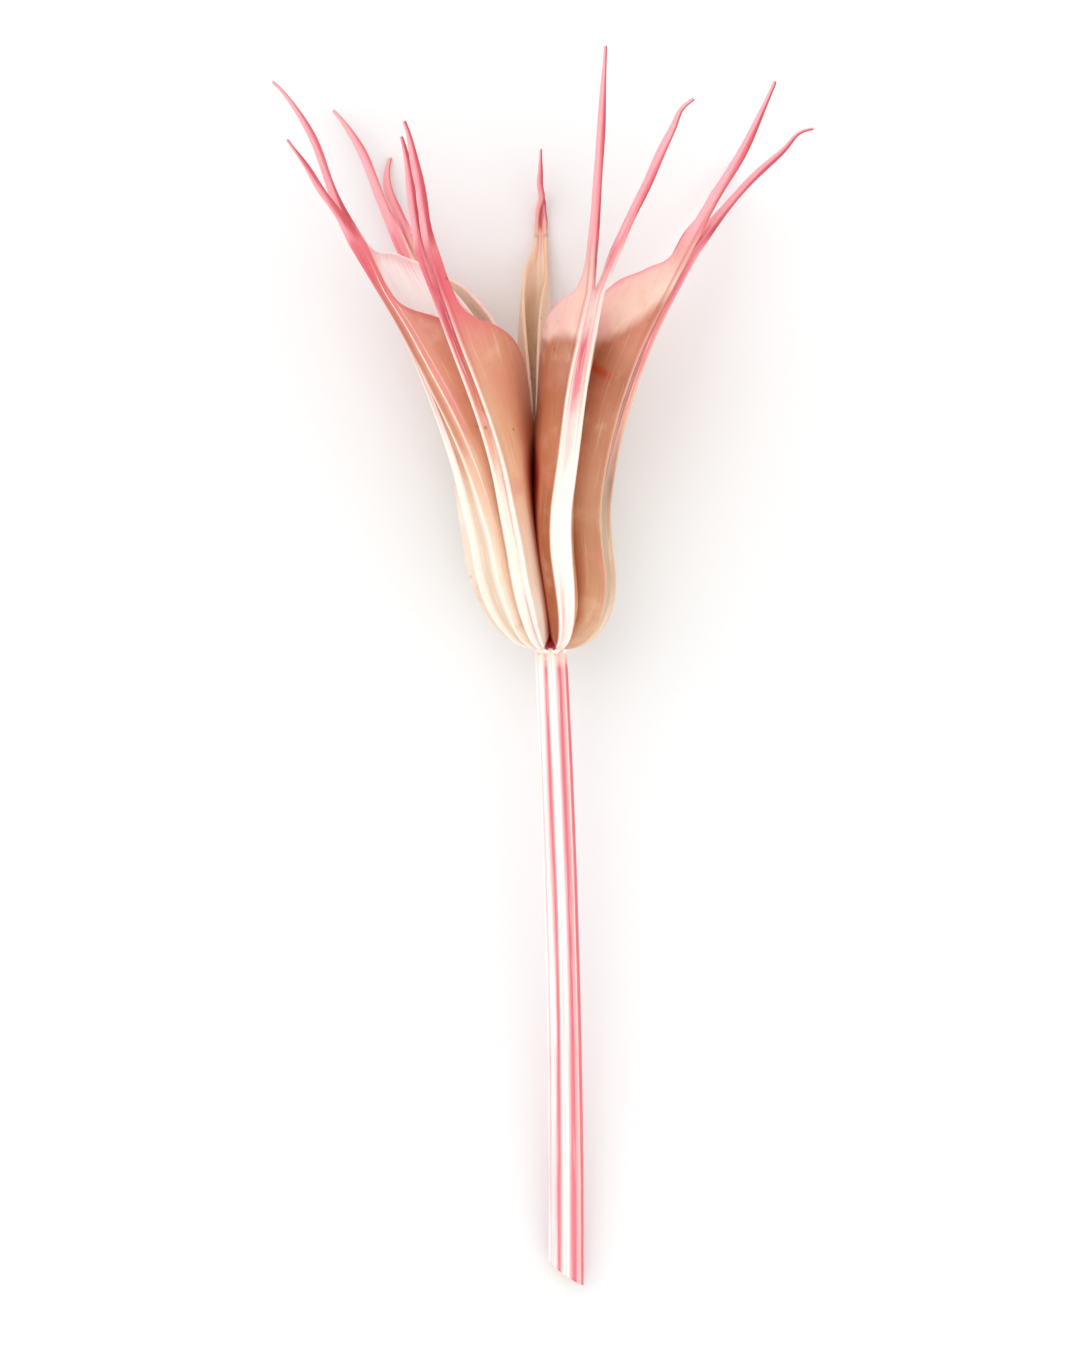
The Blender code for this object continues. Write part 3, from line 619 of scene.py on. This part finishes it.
def podSkin(name, look):
    kit = Kit(name)
    share, lane, inner, hand = kit.read("share"), kit.read("lane"), kit.read("inner"), kit.read("hand")
    toRim, toNerve, cleft = kit.read("toRim"), kit.read("toNerve"), kit.read("cleft")
    grain = kit.read("grain", vector=True)
    place = kit.node("ShaderNodeTexCoord", out=3)
    cloud = kit.noise(place, 260, 3.0)
    fine = kit.noise(place, 1500, 3.0)
    streak = kit.noise(kit.stretch(grain, (3.2, 0.16, 1.0)), 1.0, 3.0, 0.6)
    hair = kit.noise(kit.stretch(grain, (9.0, 0.22, 1.0)), 1.0, 2.0, 0.6)
    drift = (cloud - 0.5) * 0.14 + (streak - 0.5) * 0.1
    halved = [[(at / 2, colour) for at, colour in row] for row in look["stripe"] + look["flanks"]]
    along = (share + drift * kit.step(share, 1.1, 0.9)) * 0.5
    low, middle, high, left, right = [kit.stops(along, row) for row in halved]

    # across the stripe, then out over the nerve to the flanks
    stripe = kit.blend(middle, low, kit.step(lane, -0.2, -0.75))
    stripe = kit.blend(stripe, high, kit.step(lane, 0.2, 0.75))
    flank = kit.blend(left, right, hand)
    onBeak = kit.read("beak")
    body = 1 - onBeak

    # painted light: the pale top of a flank, where light comes through one wall only, and painted shade in an
    # umber band just below its line
    x, y = [kit.node("ShaderNodeSeparateXYZ", {}, {0: place}, out=i) for i in (0, 1)]
    if "pale" in look:
        x0, y0, slope = look["pale"]
        over = (y - (x - x0) * slope - y0) * (1 / mm) + (cloud - 0.5) * 2.0 + (streak - 0.5) * 0.8
        top = kit.blend(blush, kit.blend(paleTop, cream, kit.step(cloud, 0.4, 0.75)), kit.step(toRim, 0.3, 2.6))
        flank = kit.blend(flank, umber, kit.step(over, -5.0, -0.6) * kit.step(share, 0.5, 0.6) * body * 0.8)
        flank = kit.blend(flank, top, kit.step(over, -0.7, 0.7) * body * 0.92)
    if "scar" in look:
        c, d = math.cos(scar["turn"]), math.sin(scar["turn"])
        u = (x - scar["place"][0]) * c + (y - scar["place"][1]) * d
        v = (y - scar["place"][1]) * c - (x - scar["place"][0]) * d + (cloud - 0.5) * 0.0005
        mark = kit.step(abs(u), scar["long"], scar["long"] * 0.2) * kit.step(abs(v), scar["thick"], 0.0)
        flank = kit.blend(flank, scarOrange, mark)

    # soft clouds and streaks that run up the pod
    flank = kit.blend(flank, clay, kit.step(streak, 0.54, 0.76) * body * 0.25)
    flank = kit.blend(flank, cream, kit.step(streak, 0.46, 0.22) * body * 0.22)
    flank = kit.blend(flank, salmon, kit.step(cloud, 0.54, 0.72) * body * 0.4)
    flank = kit.blend(flank, sand, kit.step(cloud, 0.46, 0.3) * body * 0.3)
    stripe = kit.blend(stripe, candy, kit.step(streak, 0.6, 0.82) * kit.step(share, 0.3, 0.7) * 0.35)
    stripe = kit.blend(stripe, ivory, kit.step(hair, 0.5, 0.3) * body * 0.4)

    def between(shares):
        # 1 from the second of three shares to the third, soft before and after
        start, full, end = shares
        return kit.step(share, start, full) * kit.step(share, end + 0.1, end)

    for side, centre, half, colour, strength, shares in look.get("lines", []):
        near = kit.near(toNerve + (streak - 0.5) * 0.15, centre, half) * between(shares)
        flank = kit.blend(flank, colour, near * (hand if side else 1 - hand) * strength)
    for centre, half, colour, strength, shares in look.get("laneLines", []):
        near = kit.near(lane + (streak - 0.5) * 0.4, centre, half) * between(shares)
        stripe = kit.blend(stripe, colour, near * kit.step(cloud, 0.3, 0.55) * strength)

    # painted shade: the flank darkens to clay and then red-brown deep in the groove between two follicles
    dark = (look["cleft"][0] + (look["cleft"][1] - look["cleft"][0]) * hand) * cleft
    flank = kit.blend(flank, clay, kit.step(dark, 0.08, 0.5) * 0.8)
    flank = kit.blend(flank, cleftBrown, kit.step(dark, 0.4, 0.85))

    outside = kit.blend(flank, stripe, kit.step(toNerve, 0.06, -0.06))
    nerve, strength = look.get("nerve", (ivory, 0.85))
    outside = kit.blend(outside, nerve, kit.near(toNerve, 0.0, 0.28) * kit.step(share, 0.98, 0.7) * strength)
    outside = kit.blend(outside, rose, kit.near(toNerve, -0.3, 0.13) * kit.step(share, 0.4, 0.75) * 0.5)
    outside = kit.blend(outside, deepRose, kit.near(toNerve, 0.42, 0.2) * kit.step(share, 0.55, 0.95) * 0.45)
    if "notch" in look:
        wedge = abs(x - notch["x"]) + (y - notch["foot"]) * notch["narrowing"] + (fine - 0.5) * 0.0002
        wedge = kit.step(wedge, notch["half"] * 1.15, notch["half"] * 0.85)
        outside = kit.blend(outside, wine, wedge * kit.step(toNerve, -0.25, 0.1) * kit.step(share, 0.3, 0.2))

    # beaks: fine dark lines along them
    outside = kit.blend(outside, deepRose, kit.step(hair, 0.5, 0.72) * onBeak * look.get("veins", 0.4))

    # inside, from a pink-white lip to a tan floor, with fine lines down the wall
    depths = kit.stops(kit.step(toRim, 0.0, 10.0), look.get("within", within))
    depths = kit.blend(depths, candy, kit.step(hair, 0.5, 0.66) * kit.step(toRim, 5.0, 0.5) * 0.4)
    depths = kit.blend(depths, middle, onBeak)
    skin = kit.blend(outside, depths, inner)

    # painted highlight and shade: a beak is pale along its upper left half, towards the light, and dark along the
    # other
    facing = kit.read("facing") + (hair - 0.5) * 0.5
    skin = kit.blend(skin, beakPaintedHighlight, kit.step(facing, -0.25, 0.35) * onBeak * 0.85)
    skin = kit.blend(skin, beakPaintedShade, kit.step(facing, -0.2, -0.75) * onBeak * 0.85)

    # the rim's pink band, and a thin darker line on its edge
    free = kit.step(share, 0.5, 0.68)
    width, rimColour = look["rim"]
    skin = kit.blend(skin, rimColour, kit.step(toRim + (cloud - 0.5) * 0.8, width, 0.0) * free * body
                     * (1 - inner * 0.6) * 0.75)
    edge = look.get("edge", rimColour)
    skin = kit.blend(skin, edge, kit.step(toRim, 0.26, 0.12) * free * body * 0.75)

    # dry specks
    cells = kit.node("ShaderNodeTexVoronoi", {}, {"Vector": place, "Scale": 620.0, "Randomness": 1.0})
    dots = kit.step(cells + (fine - 0.5) * 0.12, 0.13, 0.06) * kit.step(kit.noise(place, 150, 1.0), 0.6, 0.66)
    skin = kit.blend(skin, speckBrown, dots * body * (1 - inner) * 0.5)

    # red stain round the seat on the stem
    foot = kit.step(share + (cloud - 0.5) * 0.12, 0.05, 0.0)
    skin = kit.blend(skin, rose, foot * kit.step(fine, 0.35, 0.65) * 0.5)

    height = streak * 0.5 + hair * 0.5 + fine * 0.25
    roughness = 0.42 + (fine - 0.5) * 0.16 + (1 - body) * 0.04
    normal = kit.bump(height, 0.35, 0.00012)
    return kit.finish(skin, roughness, normal, {
        "Subsurface Weight": 0.35, "Subsurface Radius": (1.0, 0.8, 0.7), "Subsurface Scale": 0.0004,
        "Specular IOR Level": 0.45})


names = list(follicles)
for index, (name, follicle) in enumerate(follicles.items()):
    here = follicle["azimuth"][0]
    before = follicles[names[index - 1]]["azimuth"][0]
    after = follicles[names[(index + 1) % len(names)]]["azimuth"][0]
    sectors = [math.radians((here - before) % 360 / 2), math.radians((after - here) % 360 / 2)]
    piece = follicleMesh(name + "Follicle", follicle, sectors, index + 1, podSkin(name + "Skin", looks[name]))
    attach(piece, "root")
    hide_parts("seed_pod")
    print("follicle", name, len(piece.data.polygons), "faces")


# The seat under the follicles' feet, which clasps the stem with a toe under each, and the
# stem, in millimetres

seat = {
    "profile": [(1.25, -0.5), (1.385, -0.49), (1.42, -0.4), (1.48, -0.2), (1.62, 0.05), (1.62, 0.35),
                (1.6, 0.8), (1.35, 1.6), (1.1, 2.2), (0.95, 4.0), (0.9, 16.0), (0.5, 18.6), (0.0, 19.2)],
    "rows": 150, "sides": 160, "collar": 1.4, "toeHalf": math.radians(10.5), "betweenToes": 0.25, "toeSwell": 0.05,
}
stem = {
    "length": 55.0, "radius": 1.35, "thickening": 0.12, "ridges": 8, "ridgeShare": 0.055,
    "gap": 0.4, "rise": 0.75, "bend": (1.4, 0.9), "slant": 0.7, "flare": 0.0, "flareReach": 1.1,
    "rounding": 0.1, "roundingReach": 0.1, "ridgesStart": 1.5, "fibres": 0.007, "uneven": 0.03,
    "rows": 250, "sides": 160, "pithHollow": 0.55,
}


def tubeMesh(name, rings, layers, material):
    # a closed tube from its rings of points: quads between rings, a fan at each end
    rows, columns = rings.shape[:2]
    grid = np.arange(rows * columns).reshape(rows, columns)
    after = np.roll(grid, -1, axis=1)
    quads = np.stack([grid[:-1], after[:-1], after[1:], grid[1:]], axis=2).reshape(-1, 4)
    ends = [rings[0].mean(axis=0), rings[-1].mean(axis=0)]
    fans = [np.stack([np.full(columns, rows * columns + i), grid[end], after[end]], axis=1)
            for i, end in enumerate((0, -1))]
    points = np.concatenate([rings.reshape(-1, 3), ends])
    layers = {key: np.concatenate([value.reshape(rows * columns, -1), value[0, :1].reshape(1, -1),
                                   value[-1, :1].reshape(1, -1)]) for key, value in layers.items()}
    layers = {key: value if value.shape[1] == 3 else value[:, 0] for key, value in layers.items()}
    return putMesh(name, layDown(points), [quads, fans[0], fans[1]], layers, material)


def seatSkin():
    # cream toes with a pink edge, deep red between them and above
    kit = Kit("seatSkin")
    height, toe = kit.read("height"), kit.read("toe")
    place = kit.node("ShaderNodeTexCoord", out=3)
    cloud, fine = kit.noise(place, 700, 3.0), kit.noise(place, 2500, 2.0)
    skin = kit.stops(kit.step(height + (cloud - 0.5) * 0.3, -0.6, 1.4), [
        (0.0, peach), (0.06, cream), (0.14, ivory), (0.32, ivory), (0.38, wine), (0.6, tint(140, 26, 36)),
        (1.0, cleftBrown)])
    skin = kit.blend(skin, wine, kit.step(toe + (fine - 0.5) * 0.2, 0.3, 0.05) * 0.3)
    skin = kit.blend(skin, deepRose, kit.step(fine, 0.6, 0.75) * 0.3)
    return kit.finish(skin, 0.5 + (fine - 0.5) * 0.2, kit.bump(cloud + fine * 0.5, 0.3, 0.0001), {})


def seatMesh():
    # the profile turned about the axis; below zero its height shrinks between the toes, and
    # its radius grows under each
    radius, height = np.array(seat["profile"]).T
    way = np.concatenate([[0], np.cumsum(np.hypot(np.diff(radius), np.diff(height)))])
    at = np.concatenate([np.linspace(0, seat["collar"], seat["rows"] // 2)[:-1],
                         np.linspace(seat["collar"], way[-1] - 0.02, seat["rows"] // 2)])
    radius, height = np.interp(at, way, radius)[:, None], np.interp(at, way, height)[:, None]
    turn = 2 * np.pi * np.arange(seat["sides"])[None, :] / seat["sides"]
    toe = 0 * turn
    for follicle in follicles.values():
        off = (turn - math.radians(follicle["azimuth"][0]) + np.pi) % (2 * np.pi) - np.pi
        toe = toe + bell(off, seat["toeHalf"])
    toe = np.clip(toe, 0, 1)
    hang = seat["betweenToes"] + (1 - seat["betweenToes"]) * toe
    height = np.where(height < 0, height * hang, height + 0 * toe)
    radius = radius + seat["toeSwell"] * toe * bell(height + 0.2, 0.25)
    rings = np.stack([podLean(height) + radius * np.sin(turn), height, radius * np.cos(turn)], axis=2)
    return tubeMesh("podSeat", rings, {"height": height, "toe": toe + 0 * height}, seatSkin())


def stemSkin():
    # pale ribs with rose furrows; a painted highlight makes the upper left side, towards the light, white, and the
    # other side is rosier
    kit = Kit("stemSkin")
    rib, drop, cut = kit.read("rib"), kit.read("drop"), kit.read("cut")
    grain = kit.read("grain", vector=True)
    place = kit.node("ShaderNodeTexCoord", out=3)
    streak = kit.noise(kit.stretch(grain, (2.2, 0.05, 1.0)), 1.0, 3.0, 0.6)
    hair = kit.noise(kit.stretch(grain, (8.0, 0.12, 1.0)), 1.0, 2.0, 0.6)
    broad = kit.noise(kit.stretch(grain, (0.55, 0.018, 1.0)), 1.0, 1.0)
    fine = kit.noise(place, 1800, 3.0)
    snow, pink = tint(255, 250, 247), tint(248, 196, 196)
    turned = kit.read("turned") + (streak - 0.5) * 0.03 + (broad - 0.5) * 0.07
    # the broad white band from 0.7 to 0.89 of a turn, on the stem's upper left side, is painted highlight
    skin = kit.stops(turned, [
        (0.0, ivory), (0.014, snow), (0.034, tint(250, 214, 214)), (0.052, tint(242, 168, 172)),
        (0.07, tint(224, 118, 128)), (0.09, tint(218, 110, 122)), (0.115, tint(238, 150, 156)), (0.14, pink),
        (0.156, tint(252, 226, 216)), (0.185, peach), (0.212, rose), (0.26, candy), (0.32, ivory), (0.38, rose),
        (0.45, snow), (0.52, candy), (0.58, ivory), (0.64, rose), (0.7, snow), (0.893, snow),
        (0.91, pink), (0.922, tint(232, 108, 122)), (0.938, tint(240, 142, 152)), (0.956, pinkWhite),
        (0.975, snow), (1.0, ivory)])
    skin = kit.blend(skin, rose, kit.step(rib, -0.1, -0.8) * kit.step(broad, 0.4, 0.65) * 0.35)
    skin = kit.blend(skin, snow, kit.step(rib, 0.3, 0.95) * kit.step(broad, 0.62, 0.4) * 0.35)
    skin = kit.blend(skin, candy, kit.step(drop, 4.0, 40.0) * kit.step(streak, 0.4, 0.65) * 0.4)
    skin = kit.blend(skin, ivory, kit.step(hair, 0.56, 0.76) * 0.5)
    skin = kit.blend(skin, rose, kit.step(hair, 0.42, 0.26) * 0.35)
    skin = kit.blend(skin, cream, kit.step(drop + (fine - 0.5) * 1.2, 2.2, 1.1) * 0.6)
    ends = kit.stops(cut, [(0.0, tint(196, 150, 120)), (0.3, cream), (0.75, sand), (0.92, tan), (1.0, rose)])
    ends = kit.blend(ends, brownTan, kit.step(fine, 0.5, 0.7) * 0.4)
    skin = kit.blend(skin, ends, kit.step(cut, 1.02, 0.98))
    height = streak * 0.5 + hair * 0.6 + fine * 0.3
    return kit.finish(skin, 0.4 + (fine - 0.5) * 0.16, kit.bump(height, 0.35, 0.0001), {
        "Subsurface Weight": 0.3, "Subsurface Radius": (1.0, 0.8, 0.7), "Subsurface Scale": 0.0004})


def stemMesh():
    # rings down a gentle bend: radius times a wave of ribs, cut aslant at the bottom, where
    # the last rings turn in over the cut to the sunken pith
    v = np.concatenate([np.linspace(0, 0.02, 18)[:-1], np.linspace(0.02, 1, stem["rows"])])[:, None]
    turn = 2 * np.pi * np.arange(stem["sides"])[None, :] / stem["sides"]
    drop = v * (stem["length"] + stem["rise"])
    radius = (stem["radius"] + stem["thickening"] * v + stem["flare"] * bell(drop, stem["flareReach"])
              - stem["rounding"] * np.exp(-drop / stem["roundingReach"]))
    ridged = ramp(drop, (0.0, stem["ridgesStart"]))
    rib = 1 - 2 * np.abs(np.sin(stem["ridges"] / 2 * turn)) ** 3
    shape = (1 + stem["ridgeShare"] * rib * ridged
             + stem["fibres"] * np.cos(5 * stem["ridges"] * turn + 1) * ridged)
    radius = radius * shape + stem["uneven"] * ripple(np.sin(turn) * 2, drop * 0.25, 7) * ridged
    cut = np.array([1.0, 0.94, 0.86, 0.7, 0.5, 0.3, 0.1])[:, None]
    sunk = stem["pithHollow"] * smooth((0.62 - cut) / 0.3) - 0.06 * smooth((1 - cut) / 0.1)
    radius = np.concatenate([radius, radius[-1:] * cut[1:] + 0 * radius[-1:]])
    drop = np.concatenate([drop, drop[-1:] - sunk[1:]])
    v = drop / stem["length"]
    slant = stem["slant"] * smooth((v - 0.9) * 10) * np.sin(turn) * radius
    x = stem["bend"][0] * v * (2 - v) + radius * np.sin(turn)
    h = stem["bend"][1] * 4 * v * (1 - v) + radius * np.cos(turn)
    rings = np.stack([x, stem["rise"] - stem["gap"] - drop - slant, h], axis=2)
    whole = np.zeros(rings.shape[:2])
    cuts = np.concatenate([whole[:len(rings) - len(cut) + 1] + 1.2, whole[:len(cut) - 1] + cut[1:]])
    around = np.minimum(turn, 2 * np.pi - turn) * stem["radius"]
    grain = np.stack([around + whole, drop + whole, 40 + whole], axis=2)
    layers = {"rib": rib + whole, "drop": drop + whole, "cut": cuts, "grain": grain,
              "turned": turn / (2 * np.pi) + whole}
    return tubeMesh("stemPiece", rings, layers, stemSkin())


for piece, node, slot in ((seatMesh(), "seed_pod", "dried_pod"), (stemMesh(), "stem", "dried_stem")):
    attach(piece, "root")
    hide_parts(node)
    print("piece", piece.name, len(piece.data.polygons), "faces")


# The studio: a pale floor, an even pale sky and one broad soft light from the upper left
studio = {
    "floorSize": 3.0, "floorDrop": 0.00005, "sky": 0.87, "keyPower": 1.25, "keySize": 0.6,
    "keyPlace": (-0.26, 0.24, 0.46), "fillPower": 0.75, "fillPlace": (0.3, -0.2, 0.35),
    "lens": 200.0, "frameHeight": 0.12, "aim": (0.0, 0.0, 0.0),
}


def floorMaterial():
    kit = Kit("studioPaper")
    place = kit.node("ShaderNodeTexCoord", out=3)
    fibre = kit.noise(place, 900, 4.0)
    tone = kit.blend((0.88, 0.897, 0.9, 1), (0.85, 0.866, 0.87, 1), kit.noise(place, 4.0, 2.0))
    return kit.finish(tone, 0.75 + (fibre - 0.5) * 0.1, kit.bump(fibre, 0.05, 0.0001), {})


def layFloor():
    half = studio["floorSize"] / 2
    corners = [(-half, -half), (half, -half), (half, half), (-half, half)]
    mesh = bpy.data.meshes.new("floor")
    mesh.from_pydata([(x, y, -studio["floorDrop"]) for x, y in corners], [], [(0, 1, 2, 3)])
    mesh.materials.append(floorMaterial())
    floor = bpy.data.objects.new("floor", mesh)
    bpy.context.scene.collection.objects.link(floor)


def hangLight(name, place, power, size):
    lamp = bpy.data.lights.new(name, "AREA")
    lamp.energy, lamp.size = power, size
    light = bpy.data.objects.new(name, lamp)
    light.location = place
    light.rotation_euler = (-light.location).to_track_quat("-Z", "Y").to_euler()
    bpy.context.scene.collection.objects.link(light)


def setStudio():
    scene = bpy.context.scene
    layFloor()
    world = bpy.data.worlds.new("paleSky")
    world.use_nodes = True
    sky = world.node_tree.nodes["Background"]
    sky.inputs["Color"].default_value = (1.0, 0.99, 0.98, 1)
    sky.inputs["Strength"].default_value = studio["sky"]
    scene.world = world
    hangLight("key", studio["keyPlace"], studio["keyPower"], studio["keySize"])
    hangLight("fill", studio["fillPlace"], studio["fillPower"], studio["keySize"])
    scene.view_settings.view_transform = "Standard"
    camera = bpy.data.objects.new("camera", bpy.data.cameras.new("camera"))
    camera.data.lens = studio["lens"]
    away = studio["frameHeight"] * studio["lens"] / camera.data.sensor_width
    camera.location = (studio["aim"][0], studio["aim"][1], studio["aim"][2] + away)
    camera.data.clip_end = 10.0
    scene.collection.objects.link(camera)
    scene.camera = camera


setStudio()
print("studio set")
